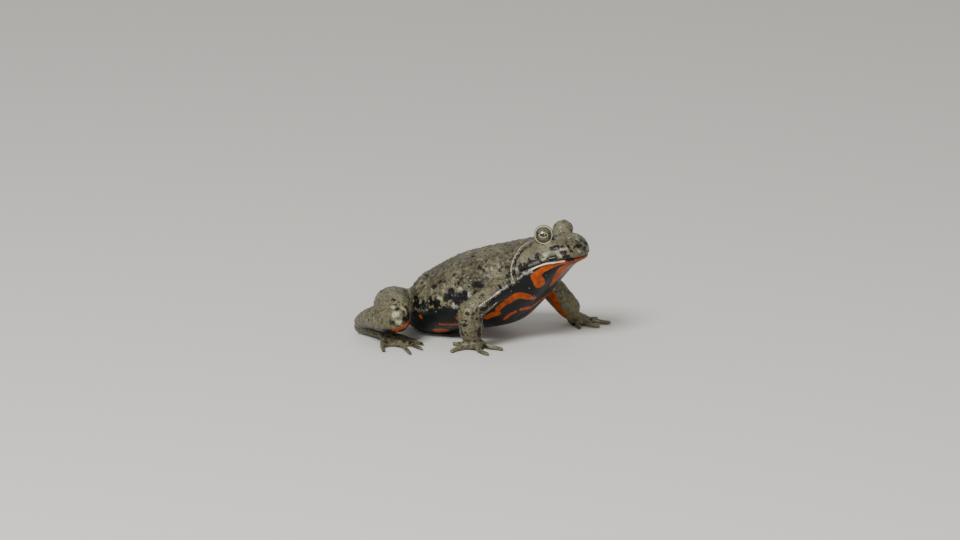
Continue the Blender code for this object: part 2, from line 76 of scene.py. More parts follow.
# Trunk and head
# A toad's trunk and head are one bag of loose skin over a squat frame. The section is a rounded box
# that grows from the vent to the shoulders and narrows to the snout, with soft swellings over bones.
BODY_STATIONS = (
    # x, height of the widest line, half width, top, underside, squareness
    (-1.0, 4.3, 0.0, 4.3, 4.3, 2.0),
    (-0.7, 4.3, 1.9, 5.3, 3.2, 2.0),
    (0.3, 4.4, 3.7, 6.2, 2.0, 2.0),
    (1.9, 4.8, 5.6, 7.5, 0.9, 2.1),
    (4.2, 5.4, 7.9, 10.4, -0.1, 2.1),
    (6.4, 5.9, 9.8, 12.4, -0.4, 2.1),
    (9.2, 6.5, 11.2, 14.2, -0.4, 2.2),
    (13.2, 7.3, 11.9, 16.3, 0.4, 2.2),
    (18.2, 8.5, 11.4, 17.9, 1.8, 2.2),
    (22.6, 10.2, 10.0, 19.1, 2.7, 2.2),
    (26.2, 12.4, 8.6, 19.9, 3.9, 2.2),
    (29.0, 14.4, 8.0, 20.5, 6.4, 2.3),
    (31.6, 16.0, 7.7, 21.1, 9.4, 2.4),
    (34.2, 17.1, 7.1, 21.6, 12.6, 2.4),
    (36.4, 18.1, 6.3, 21.9, 15.1, 2.4),
    (38.1, 18.6, 5.2, 21.6, 16.4, 2.3),
    (39.2, 18.9, 3.9, 20.9, 17.0, 2.2),
    (39.9, 19.1, 2.5, 20.3, 17.6, 2.1),
    (40.2, 19.4, 0.0, 19.4, 19.4, 2.0),
)
TAIL_END_X = 1.0
NOSE_START_X = 36.0
SWELLINGS = (
    # centre on the right side, reach along each axis, height
    ((32.7, -4.0, 21.7), (3.2, 2.4, 2.4), 0.6),
    ((37.0, -3.2, 21.6), (2.6, 1.2, 1.4), 0.2),
    ((29.6, -4.8, 20.2), (2.2, 2.2, 2.0), 0.4),
    ((26.4, -3.4, 20.2), (3.2, 2.6, 2.0), 0.4),
    ((29.8, -8.0, 15.0), (2.6, 2.6, 2.6), 0.45),
    ((26.0, -8.5, 17.0), (1.7, 3.2, 4.0), -0.45),
    ((21.8, -9.0, 15.5), (3.8, 4.2, 4.2), 0.75),
    ((21.8, -4.0, 4.2), (4.6, 4.2, 3.2), 0.3),
    ((6.4, -6.2, 10.6), (3.2, 3.0, 3.0), 0.5),
    ((10.5, -11.5, 9.0), (2.6, 3.0, 4.0), -0.4),
)


def through(rows, share):
    """The smooth curve through equally spaced rows of values, read at shares of its length."""
    rows = np.asarray(rows, float)
    spans = len(rows) - 1
    place = np.clip(share, 0.0, 1.0) * spans
    start = np.minimum(place.astype(int), spans - 1)
    t = (place - start)[:, None]
    p0, p1 = rows[np.maximum(start - 1, 0)], rows[start]
    p2, p3 = rows[start + 1], rows[np.minimum(start + 2, spans)]
    bend = (2 * p0 - 5 * p1 + 4 * p2 - p3) * t + (3 * p1 - p0 - 3 * p2 + p3) * t * t
    return p1 + 0.5 * t * (p2 - p0 + bend)


def rounded_power(value, squareness):
    """Cosine or sine bent towards a square, for a rounded box."""
    return np.sign(value) * np.abs(value) ** (2.0 / squareness)


def body_point(along, around):
    """Points of the body: along it from vent to snout, around it from the right flank upwards."""
    x, widest, half_width, top, underside, squareness = through(BODY_STATIONS, along).T
    half_width = np.maximum(half_width, 0.0)
    side = -rounded_power(np.cos(2 * math.pi * around), squareness)
    rise = rounded_power(np.sin(2 * math.pi * around), squareness)
    height = np.maximum(np.where(rise > 0, top - widest, widest - underside), 0.0)
    fade = np.minimum(1.0, half_width * 4.0)
    plain = np.stack([x, -np.abs(side * half_width) * fade, widest + rise * height * fade], axis=1)
    lift = sum(
        tall * np.exp(-(((plain - centre) / reach) ** 2).sum(axis=1)) for centre, reach, tall in SWELLINGS
    )
    nose = np.maximum(0.0, (x - NOSE_START_X) / (BODY_STATIONS[-1][0] - NOSE_START_X))
    tail = np.maximum(0.0, (TAIL_END_X - x) / (TAIL_END_X - BODY_STATIONS[0][0]))
    y = side * (half_width + lift) * fade
    z = widest + rise * (height + lift) * fade
    return np.stack([x + lift * (nose**2 - tail**2), y, z], axis=1)


def wrap(shape, surface, along_steps, around_steps):
    """Adds a closed form: a grid wrapped onto surface(along, around), its two ends drawn to points."""
    made = bmesh.ops.create_grid(shape, x_segments=along_steps, y_segments=around_steps, size=0.5)["verts"]
    flat = np.array([vertex.co[:2] for vertex in made]) + 0.5
    for vertex, place in zip(made, surface(flat[:, 0], flat[:, 1])):
        vertex.co = place
    bmesh.ops.remove_doubles(shape, verts=made, dist=0.002)


flesh = bmesh.new()
wrap(flesh, body_point, 200, 150)

# The bulges that hold the eyes
# Each eye sits in a ball of skin that stands above the flat of the head.
BULGE_RADIUS = 2.0
for centre in EYE_CENTRES.values():
    ball = Matrix.Translation(centre)
    bmesh.ops.create_icosphere(flesh, subdivisions=5, radius=BULGE_RADIUS, matrix=ball)

# Forelegs and hind legs
# A limb is a chain of bent, tapered segments that swell over their muscles. The toad props itself on
# stout forelegs with the toes turned out, and keeps its hind legs folded at its sides.
UPPER_ARM_RADII = (2.9, 2.4, 2.2, 2.15, 2.3, 2.1)
FOREARM_RADII = (1.9, 2.35, 2.5, 2.45, 2.35, 2.05)
FORELEGS = (
    (
        ((27.0, -5.6, 13.0), (25.4, -9.6, 11.5), (23.9, -13.0, 9.7), (22.0, -16.2, 8.0)),
        ((22.2, -16.0, 9.9), (22.1, -15.3, 7.6), (21.8, -14.2, 4.6), (21.6, -13.1, 1.6)),
    ),
    (
        ((27.2, 5.6, 13.2), (26.2, 9.6, 11.8), (25.4, 12.8, 10.2), (24.4, 16.2, 8.4)),
        ((23.8, 15.2, 9.0), (25.9, 15.5, 6.9), (28.3, 15.8, 4.4), (30.7, 16.0, 1.9)),
    ),
)
HIND_LEG = (
    # centre line, radii spread along it: thigh, shank and tarsus
    (
        ((3.8, -2.6, 5.0), (1.9, -8.2, 6.2), (3.5, -13.4, 7.1), (8.6, -18.5, 7.4)),
        (2.8, 3.4, 3.6, 3.4, 3.1, 2.9),
    ),
    (
        ((9.9, -18.5, 6.1), (5.2, -18.4, 5.7), (0.0, -15.2, 4.5), (-5.2, -11.2, 2.3)),
        (2.9, 2.9, 2.8, 2.3, 1.8, 1.4),
    ),
    (
        ((-5.6, -11.0, 1.6), (-3.0, -11.9, 1.35), (0.2, -13.2, 1.15), (3.6, -14.6, 0.9)),
        (1.4, 1.2, 1.05, 1.1, 1.3),
    ),
)
limbs = []


def limb(shape, path, radii, flat=1.0, steps=(48, 36)):
    """Adds a bent, tapered bar with rounded ends. Its section is flat times as wide as high."""
    path = np.asarray(path, float)
    limbs.append((path, radii))
    chord = path[-1] - path[0]
    steep = abs(chord[2]) > 0.7 * np.linalg.norm(chord)
    reference = np.array((1.0, 0.0, 0.0)) if steep else np.array((0.0, 0.0, 1.0))

    def surface(along, around):
        share = 0.5 - 0.5 * np.cos(math.pi * along)
        ahead = through(path, share + 0.01) - through(path, share - 0.01)
        side = np.cross(ahead, reference)
        side /= np.linalg.norm(side, axis=1, keepdims=True)
        over = np.cross(side, ahead)
        over /= np.linalg.norm(over, axis=1, keepdims=True)
        radius = through(np.array(radii)[:, None], share)
        round_off = np.sqrt(np.maximum(0.0, 1.0 - np.abs(2.0 * share - 1.0) ** 7))[:, None]
        angle = 2.0 * math.pi * around[:, None]
        ring = flat * np.cos(angle) * side + np.sin(angle) * over
        return through(path, share) + round_off * radius * ring

    wrap(shape, surface, *steps)


for upper, lower in FORELEGS:
    limb(flesh, upper, UPPER_ARM_RADII)
    limb(flesh, lower, FOREARM_RADII)
for path, radii in HIND_LEG:
    limb(flesh, path, radii)
    limb(flesh, np.array(path) * TO_LEFT, radii)

# Hands and feet
# Four short blunt fingers without webs, and five longer toes that a web joins to beyond their middle.
# Each digit lies on the floor, arched a little, with a swollen joint and a rounded tip.
PALM_RADIUS = 1.3
PALM_HEIGHT = 1.05
FINGER_RADIUS = 0.62
TOE_RADIUS = 0.58
DIGIT_SWELL = (1.4, 1.05, 0.95, 1.02, 0.82, 0.8, 0.92)
DIGIT_ROOT_HEIGHTS = (1.0, 0.95)
WEB_SHARE = 0.62
WEB_THICKNESS = 0.42
WEB_HEIGHT = 0.08
WEB_EDGE = ((0.0, 1.0), (0.2, 0.9), (0.5, 0.82), (0.8, 0.9), (1.0, 1.0))
HANDS = (
    # where the fingers fan from, then each one's heading in degrees, length and bend
    ((22.0, -13.4), 1.0, ((188, 5.4, -14), (112, 6.4, -16), (40, 7.4, -10), (-6, 6.4, 12))),
    ((31.4, 16.3), -1.0, ((-62, 5.0, 14), (-16, 5.8, 12), (24, 6.6, -8), (72, 5.8, -14))),
)
FOOT = (3.4, -14.4)
TOES = ((-12, 6.2, 16), (8, 8.8, 12), (27, 11.6, 8), (45, 14.2, 6), (68, 11.0, -10))


def digit(shape, root, side, fan, radius):
    """Adds one finger or toe along the floor."""
    heading, length, bend = fan
    heights = (*DIGIT_ROOT_HEIGHTS, radius * 0.8, radius * 0.65)
    path = [(*root, heights[0])]
    for n in range(1, 4):
        turn = math.radians((heading + bend * (n - 2)) * side)
        x, y, _ = path[-1]
        path.append((x + math.cos(turn) * length / 3, y - math.sin(turn) * length / 3, heights[n]))
    limb(shape, path, [radius * r for r in DIGIT_SWELL], steps=(32, 16))


def web(shape, root, side, pair):
    """Adds the skin between two toes: a thin plate with a hollow outer edge."""
    corners = [Vector((*root, WEB_HEIGHT))]
    reach = min(length for _, length, _ in pair) * WEB_SHARE
    for share, hollow in WEB_EDGE:
        turn = math.radians(pair[0][0] + (pair[1][0] - pair[0][0]) * share) * side
        corners.append(corners[0] + Vector((math.cos(turn), -math.sin(turn), 0.0)) * reach * hollow)
    face = shape.faces.new([shape.verts.new(corner) for corner in corners])
    raised = bmesh.ops.extrude_face_region(shape, geom=[face])["geom"]
    lifted = [item for item in raised if isinstance(item, bmesh.types.BMVert)]
    bmesh.ops.translate(shape, verts=lifted, vec=(0.0, 0.0, WEB_THICKNESS))


for root, side, fingers in HANDS:
    palm = [(root[0] - 1.9, root[1] - 0.3 * side, PALM_HEIGHT + 0.15), (*root, PALM_HEIGHT)]
    palm.append((root[0] + 2.0, root[1], PALM_HEIGHT - 0.25))
    limb(flesh, palm, (PALM_RADIUS, PALM_RADIUS, 0.75 * PALM_RADIUS), flat=1.6)
    for fan in fingers:
        digit(flesh, root, side, fan, FINGER_RADIUS)
for side in (1.0, -1.0):
    root = (FOOT[0], FOOT[1] * side)
    sole = [(root[0] - 1.2, root[1] + 0.6 * side, 0.95), (root[0] + 0.8, root[1] - 0.6 * side, 0.85)]
    sole.append((root[0] + 3.4, root[1] - 2.6 * side, 0.6))
    limb(flesh, sole, (1.1, 1.2, 0.8), flat=1.6)
    for fan in TOES:
        digit(flesh, root, side, fan, TOE_RADIUS)
    for pair in zip(TOES, TOES[1:]):
        web(flesh, root, side, pair)

# One skin
# The forms are fused into one closed skin of even, small faces, and the skin is drawn across the
# hollows where a limb leaves the body, as loose skin is.
VOXEL = 0.13
FILLET_STEPS = 90
FILL_HOLLOWS = 0.9
DRAW_IN = 0.15
bmesh.ops.recalc_face_normals(flesh, faces=flesh.faces)
mesh = bpy.data.meshes.new("forms")
flesh.to_mesh(mesh)
flesh.free()
skin = bpy.data.objects.new("skin", mesh)
bpy.context.scene.collection.objects.link(skin)


def applied(target):
    """Applies the target's modifiers to its mesh."""
    graph = bpy.context.evaluated_depsgraph_get()
    finished = bpy.data.meshes.new_from_object(target.evaluated_get(graph))
    target.modifiers.clear()
    target.data = finished


fuse = skin.modifiers.new("fuse", "REMESH")
fuse.mode = "VOXEL"
fuse.voxel_size = VOXEL
applied(skin)


def read(items, name, width, kind=float):
    """One property of all items of a mesh, as rows."""
    values = np.empty(len(items) * width, kind)
    items.foreach_get(name, values)
    return values.reshape(-1, width)


skin.data.calc_loop_triangles()
points = read(skin.data.vertices, "co", 3)
edges = read(skin.data.edges, "vertices", 2, np.int32)
triangles = read(skin.data.loop_triangles, "vertices", 3, np.int32)
count = len(points)
valence = np.bincount(edges.ravel(), minlength=count)[:, None]


def neighbours(values):
    """The mean of each vertex's neighbours."""
    rows = []
    for column in values.T:
        total = np.bincount(edges[:, 0], column[edges[:, 1]], count)
        rows.append(total + np.bincount(edges[:, 1], column[edges[:, 0]], count))
    return np.stack(rows, axis=1) / valence


def outward(places):
    """Each vertex's normal."""
    a, b, c = (places[triangles[:, corner]] for corner in range(3))
    face = np.cross(b - a, c - a)
    rows = []
    for column in face.T:
        rows.append(sum(np.bincount(triangles[:, corner], column, count) for corner in range(3)))
    total = np.stack(rows, axis=1)
    return total / np.maximum(np.linalg.norm(total, axis=1, keepdims=True), 1e-12)


for step in range(FILLET_STEPS):
    if step % 3 == 0:
        normal = outward(points)
    hollow = ((neighbours(points) - points) * normal).sum(axis=1, keepdims=True)
    points += normal * (FILL_HOLLOWS * np.maximum(hollow, 0.0) + DRAW_IN * np.minimum(hollow, 0.0))
normal = outward(points)

# Places on the skin
# Later forms and markings are set by how far a point lies from a smooth line drawn on the skin.
LAID_REACH = 0.15


def from_line(places, line, steps=40):
    """The distance to a smooth line laid on the skin, and the offset from the line's nearest point."""
    nearest = np.full(len(places), np.inf)
    offset = np.zeros((len(places), 3))
    for stop in through(line, np.linspace(0.0, 1.0, steps)):
        gap = np.linalg.norm(places - stop, axis=1)
        away = places - places[gap < gap.min() + LAID_REACH].mean(axis=0)
        gap = np.linalg.norm(away, axis=1)
        closer = gap < nearest
        nearest[closer] = gap[closer]
        offset[closer] = away[closer]
    return nearest, offset


def bump(distance, width):
    """A soft bell, 1 at no distance."""
    return np.exp(-((distance / width) ** 2))


def ramp(value, low, high):
    """A smooth step from 0 at low to 1 at high."""
    t = np.clip((value - low) / (high - low), 0.0, 1.0)
    return t * t * (3.0 - 2.0 * t)


# Mouth, nostrils and the fold behind the head
# The mouth is one long line with a soft lip on each side, and the nostrils are small pits with a rim
# near the snout's tip. A fold of loose skin falls from behind the eye to the corner of the jaw.
MOUTH_LINE = (
    # x, z
    (28.6, 14.7),
    (29.6, 15.4),
    (32.1, 16.6),
    (34.6, 17.6),
    (37.1, 18.1),
    (38.6, 18.2),
    (40.2, 18.1),
)
MOUTH_CORNER_X = 29.6
MOUTH_WIDTH = 0.13
MOUTH_DEPTH = 0.26
LIP_OFFSET = 0.45
UPPER_LIP_WIDTH = 0.26
UPPER_LIP_HEIGHT = 0.13
LOWER_LIP_WIDTH = 0.3
LOWER_LIP_HEIGHT = 0.15
NOSTRIL = np.array((37.8, -1.2, 21.7))
NOSTRIL_WIDTH = 0.3
NOSTRIL_DEPTH = 0.45
NOSTRIL_TO_RIM = np.array((-0.1, 0.6, 0.1))
NOSTRIL_RIM_WIDTH = 0.45
NOSTRIL_RIM_HEIGHT = 0.3
SHOULDER_CREASE = ((24.1, -12.3, 12.4), (25.2, -11.7, 12.9), (26.0, -11.2, 13.0))
SHOULDER_CREASE_WIDTH = 0.2
SHOULDER_CREASE_DEPTH = 0.13
FOLD = ((30.0, -4.6, 20.7), (28.4, -5.6, 19.8), (27.7, -7.2, 18.0), (27.7, -8.3, 16.0), (28.2, -8.4, 13.8))
FOLD_WIDTH = 0.26
FOLD_HEIGHT = 0.24
FURROW_AHEAD = 0.62
FURROW_WIDTH = 0.3
FURROW_REACH = 0.9
FURROW_DEPTH = 0.2


def mirrored(places):
    """The same places, all on the toad's right."""
    return np.where(places[:, 1:2] > 0.0, places * TO_LEFT, places)


def mouth_fields(places):
    """How far each place lies above the mouth, and 1 in front of its corner."""
    above = places[:, 2] - np.interp(places[:, 0], *zip(*MOUTH_LINE))
    return above, ramp(places[:, 0], MOUTH_CORNER_X - 0.5, MOUTH_CORNER_X + 0.4)


def fold_fields(places):
    """The distance to the fold behind the head, and 1 in the furrow in front of it."""
    gap, offset = from_line(mirrored(places), FOLD)
    ahead = offset[:, 0] * 0.95 + offset[:, 2] * 0.3
    reached = bump(np.maximum(gap - FURROW_REACH, 0.0), 0.4)
    return gap, bump(ahead - FURROW_AHEAD, FURROW_WIDTH) * reached


above_mouth, in_mouth = mouth_fields(points)
lift = -MOUTH_DEPTH * (bump(above_mouth, MOUTH_WIDTH) * in_mouth)
lift += UPPER_LIP_HEIGHT * in_mouth * bump(above_mouth - LIP_OFFSET, UPPER_LIP_WIDTH)
lift += LOWER_LIP_HEIGHT * in_mouth * bump(above_mouth + LIP_OFFSET, LOWER_LIP_WIDTH)

right_places = mirrored(points)
fold_gap, furrow = fold_fields(points)
lift += FOLD_HEIGHT * bump(fold_gap, FOLD_WIDTH) - FURROW_DEPTH * furrow
shoulder_gap, _ = from_line(right_places, SHOULDER_CREASE)
lift -= SHOULDER_CREASE_DEPTH * bump(shoulder_gap, SHOULDER_CREASE_WIDTH)

nostril = right_places[np.linalg.norm(right_places - NOSTRIL, axis=1).argmin()]
nostril_gap = np.linalg.norm(right_places - nostril, axis=1)
inner_rim = np.linalg.norm(right_places - nostril - NOSTRIL_TO_RIM, axis=1)
pit = bump(nostril_gap, NOSTRIL_WIDTH)
lift += NOSTRIL_RIM_HEIGHT * bump(inner_rim, NOSTRIL_RIM_WIDTH) - NOSTRIL_DEPTH * pit
points += normal * lift[:, None]

# Warts
# The back is covered with low round glands in all sizes, close set, over a fine grain. They fade out
# on the lips, the belly and the digits. Each is a small dome raised in the skin itself.
SEED = 11
WART_TIERS = (
    # least spacing, smallest and largest radius, height as a share of the radius, share with a dark tip
    (1.7, 0.38, 0.60, 0.34, 0.3),
    (0.9, 0.26, 0.42, 0.36, 0.14),
    (0.48, 0.17, 0.26, 0.38, 0.03),
)
LEAST_WARTY = 0.25
TALL_WART = 0.2
CRUMPLE_WAVES = 16
CRUMPLE_LENGTHS = (0.9, 2.4)
CRUMPLE_HEIGHT = 0.022
FLANK_LINE = (
    # x and height of the line where the back's skin ends and the belly's begins
    (-2.0, 2.5),
    (8.0, 6.0),
    (17.0, 8.0),
    (23.0, 9.0),
    (25.8, 10.6),
    (27.4, 12.3),
    (29.3, 14.0),
    (31.2, 15.4),
    (40.0, 18.5),
)
NECK_X = (28.0, 29.5)
LIMB_STOPS = 12
ARM_ROOT_FROM_X = (25.9, 26.5)
ARM_ROOT_TO_Y = (12.6, 13.4)
ARM_ROOT_FROM_Z = (4.0, 6.0)
draw = np.random.default_rng(SEED)


def eye_gap_of(places):
    """The distance to the nearer eyeball's middle."""
    return np.min([np.linalg.norm(places - centre, axis=1) for centre, _ in EYEBALLS.values()], axis=0)


def limb_fields(places):
    """How deep each place lies in the nearest limb, and how much it faces down there, from -1 to 1."""
    depth = np.full(len(places), -9.0)
    under = np.zeros(len(places))
    stops = np.linspace(0.0, 1.0, LIMB_STOPS)
    for path, radii in limbs:
        clear = ((places > path.min(axis=0) - 6.0) & (places < path.max(axis=0) + 6.0)).all(axis=1)
        near = np.flatnonzero(clear)
        for stop, (radius,) in zip(through(path, stops), through(np.array(radii)[:, None], stops)):
            away = places[near] - stop
            gap = np.linalg.norm(away, axis=1)
            closer = radius - gap > depth[near]
            depth[near[closer]] = (radius - gap)[closer]
            under[near[closer]] = -(away[:, 2] / np.maximum(gap, 1e-6))[closer]
    return depth, under


def arm_root(places):
    """1 on the front of the arm's root, which is coloured like the chest."""
    x, y, z = places.T
    return ramp(x, *ARM_ROOT_FROM_X) * (1.0 - ramp(np.abs(y), *ARM_ROOT_TO_Y)) * ramp(z, *ARM_ROOT_FROM_Z)


eye_gap = eye_gap_of(points)
flank_height = np.interp(points[:, 0], *zip(*FLANK_LINE))
limb_depth, limb_under = limb_fields(points)
on_limb = ramp(limb_depth, -0.9, -0.1) * (1.0 - arm_root(points))
below_flank = (flank_height - points[:, 2]) * (1.0 - on_limb) + (3.0 * limb_under - 1.2) * on_limb
warty = ramp(-below_flank, -1.5, 1.0)
warty *= ramp(eye_gap, 2.5, 3.1) * ramp(nostril_gap, 0.7, 1.2) * (1.0 - bump(fold_gap, 0.4))
warty *= 1.0 - in_mouth * bump(np.maximum(np.abs(above_mouth) - 0.5, 0.0), 0.3)
warty *= ramp(points[:, 2], 0.9, 2.2)
on_head = ramp(points[:, 0], *NECK_X)
smoother = np.maximum(on_head, on_limb)
warty *= 1.0 - 0.45 * smoother - 0.2 * on_head
surroundings = KDTree(count)
for index, place in enumerate(points):
    surroundings.insert(place, index)
surroundings.balance()
wart = np.zeros(count)
dark_wart = np.zeros(count)
for tier, (spacing, small, large, tall, dark_share) in enumerate(WART_TIERS):
    free = warty > LEAST_WARTY
    if tier == 0:
        free &= smoother < 0.5
    for index in draw.permutation(np.flatnonzero(free)):
        if not free[index]:
            continue
        radius = draw.uniform(small, large)
        tipped = float(draw.random() < dark_share)
        height = radius * tall * warty[index]
        for _, near, gap in surroundings.find_range(points[index], max(radius, spacing)):
            if gap < spacing:
                free[near] = False
            dome = 1.0 - (gap / radius) ** 2
            if dome > 0.0 and height * dome**0.75 > wart[near]:
                wart[near] = height * dome**0.75
                dark_wart[near] = tipped * dome
wave = draw.normal(size=(CRUMPLE_WAVES, 3))
wave_length = draw.uniform(*CRUMPLE_LENGTHS, (CRUMPLE_WAVES, 1))
wave *= 2 * math.pi / (np.linalg.norm(wave, axis=1, keepdims=True) * wave_length)
crumple = np.sin(points @ wave.T + draw.uniform(0, 2 * math.pi, CRUMPLE_WAVES)).sum(axis=1)
wart += CRUMPLE_HEIGHT * crumple * warty
points += outward(points) * wart[:, None]

# Lids
# A smooth roll of skin lies round each eye, close against the ball. Inside it the skin is sunk
# behind the eyeball.
LID_ANGLE = math.radians(76)
LID_ROLL = 0.22
LID_CLEAR = 0.05
SUNK_RADIUS = EYEBALL_RADIUS - 0.32
LID_RELAXES = 6
for centre, look in EYEBALLS.values():
    away = points - centre
    gap = np.linalg.norm(away, axis=1)
    angle = np.arccos(np.clip(away @ look / np.maximum(gap, 1e-6), -1.0, 1.0))
    rim = EYEBALL_RADIUS + LID_CLEAR + LID_ROLL * bump(angle - LID_ANGLE - 0.13, 0.14)
    held = SUNK_RADIUS + (rim - SUNK_RADIUS) * ramp(angle, LID_ANGLE - 0.10, LID_ANGLE)
    forced = 1.0 - ramp(angle, LID_ANGLE + 0.10, LID_ANGLE + 0.34)
    close = (1.0 - ramp(angle, LID_ANGLE + 0.4, LID_ANGLE + 0.7)) * (1.0 - ramp(gap, 2.2, 3.0))
    target = forced * held + (1.0 - forced) * np.maximum(gap, held)
    points += away / np.maximum(gap, 1e-6)[:, None] * ((target - gap) * close)[:, None]
eye_gap = eye_gap_of(points)
loose = (ramp(eye_gap, 1.95, 2.15) * (1.0 - ramp(eye_gap, 3.2, 3.6)))[:, None]
for _ in range(LID_RELAXES):
    normal = outward(points)
    drift = neighbours(points) - points
    points += 0.5 * loose * (drift - (drift * normal).sum(axis=1, keepdims=True) * normal)

points[:, 2] = np.maximum(points[:, 2], 0.0)
skin.data.vertices.foreach_set("co", points.astype(np.float32).ravel())


def keep(target, name, values):
    """Stores one number for each vertex."""
    target.attributes.new(name, "FLOAT", "POINT").data.foreach_set("value", values.astype(np.float32))


keep(skin.data, "wart", wart / TALL_WART)
keep(skin.data, "dark_wart", dark_wart)
keep(skin.data, "smooth", np.maximum(on_head, 0.35 * on_limb))
# the nostril pits are also painted dark: painted shade in the hollows
keep(skin.data, "pit", pit)

# Fewer faces
# The skin gets fewer and larger faces where it is flat. The head keeps the finest ones, and so does
# the foreleg where a row of small painted wet highlights crosses it.
SKIN_TRIANGLES = 190000
ARM_HIGHLIGHT_LINE = (
    (24.5, -16.0, 9.5),
    (25.2, -14.9, 10.2),
    (25.8, -13.5, 10.8),
    (26.4, -12.4, 11.4),
    (26.7, -11.7, 11.8),
)
finest = skin.vertex_groups.new(name="finest")
head_share = ramp(points[:, 0], 26.0, 29.5) * ramp(points[:, 2], 8.0, 11.0)
fineness = 0.25 + 0.75 * head_share - 0.2 * ramp(-points[:, 2], -2.0, 0.0)
fineness = np.maximum(fineness, bump(from_line(right_places, ARM_HIGHLIGHT_LINE)[0], 0.5))
for level in range(11):
    chosen = np.flatnonzero(np.round(fineness * 10) == level)
    finest.add([int(index) for index in chosen], level / 10, "REPLACE")
thin = skin.modifiers.new("thin", "DECIMATE")
thin.ratio = SKIN_TRIANGLES / len(triangles)
thin.vertex_group = "finest"
thin.invert_vertex_group = True
thin.use_collapse_triangulate = True
applied(skin)
skin.vertex_groups.clear()

# Markings
# Above, the toad is olive grey with black warts and blotches. Below, it is blue-black with flame-red
# patches. The patches seen from the right are placed by name, and the hidden ones are drawn at random.
# Painted light is laid in too: painted wet sheen and highlights as pale streaks and spots, lighter wart
# tops, and painted shade in the creases, the nostrils and the gaps between granules.
ORANGE = (
    # line on the right side of the skin, half width: throat and jaw
    (((32.9, -7.3, 14.6), (33.1, -6.6, 13.6), (33.1, -5.8, 12.8)), 1.08),
    (((33.2, -7.3, 15.3), (34.1, -7.1, 16.0)), 0.55),
    (
        ((34.2, -7.0, 16.1), (35.2, -6.6, 16.7), (36.2, -6.3, 17.1), (37.2, -5.9, 17.4), (38.0, -5.2, 17.6)),
        0.58,
    ),
    (
        ((38.0, -5.2, 17.6), (38.9, -4.1, 17.5), (39.6, -2.8, 17.5), (39.9, -1.0, 17.6), (39.9, 0.0, 17.6)),
        0.55,
    ),
    # chest and flank
    (((24.8, -8.2, 7.4), (25.6, -8.1, 8.1), (26.5, -7.9, 8.9)), 0.5),
    (((26.9, -7.8, 9.2), (28.2, -7.5, 10.1), (29.4, -7.0, 10.4), (30.4, -6.0, 10.0)), 0.72),
    (((30.7, -5.3, 9.7), (31.0, -4.3, 9.4)), 0.4),
    (((22.4, -8.4, 5.5), (23.4, -8.2, 6.0), (24.6, -7.7, 6.4)), 0.6),
    (((25.2, -5.8, 4.9), (26.3, -5.9, 5.9), (27.5, -5.5, 6.6)), 0.3),
    (((28.5, -4.8, 7.0), (29.0, -3.8, 7.1), (29.5, -2.3, 7.1)), 0.42),
    (((13.0, -10.3, 3.7), (15.8, -9.7, 3.6), (19.5, -9.3, 3.8)), 0.28),
    (((17.0, -10.8, 5.5), (17.0, -10.5, 5.0)), 0.24),
    (((8.7, -10.7, 4.9), (8.9, -10.7, 4.6)), 0.28),
)
THROAT_ORANGE = (
    # line on the skin, half width: the underside of the throat and the breast, not mirrored
    (((36.9, -3.0, 16.1), (36.0, -2.4, 15.2), (35.2, -1.8, 14.2)), 1.8),
    (((34.6, -1.8, 13.4), (33.9, -1.7, 12.4)), 0.9),
    (((31.3, 1.8, 9.0), (31.0, 0.6, 8.5), (30.4, -1.1, 8.0), (29.8, -1.9, 7.4)), 0.36),
)
LIMB_ORANGE = (
    # knee, heel and the inner face of the foreleg
    (((11.0, -18.4, 5.4), (10.5, -19.6, 4.7), (9.2, -20.4, 4.2), (7.6, -20.6, 3.9)), 0.34),
    (((8.1, -20.0, 3.9), (8.0, -19.3, 3.5)), 0.24),
    (((26.3, -13.1, 6.8), (26.9, -13.2, 5.5), (27.6, -13.5, 4.2)), 0.8),
    (((27.6, -13.5, 4.2), (28.4, -13.8, 3.0), (29.2, -14.2, 2.1)), 0.6),
)
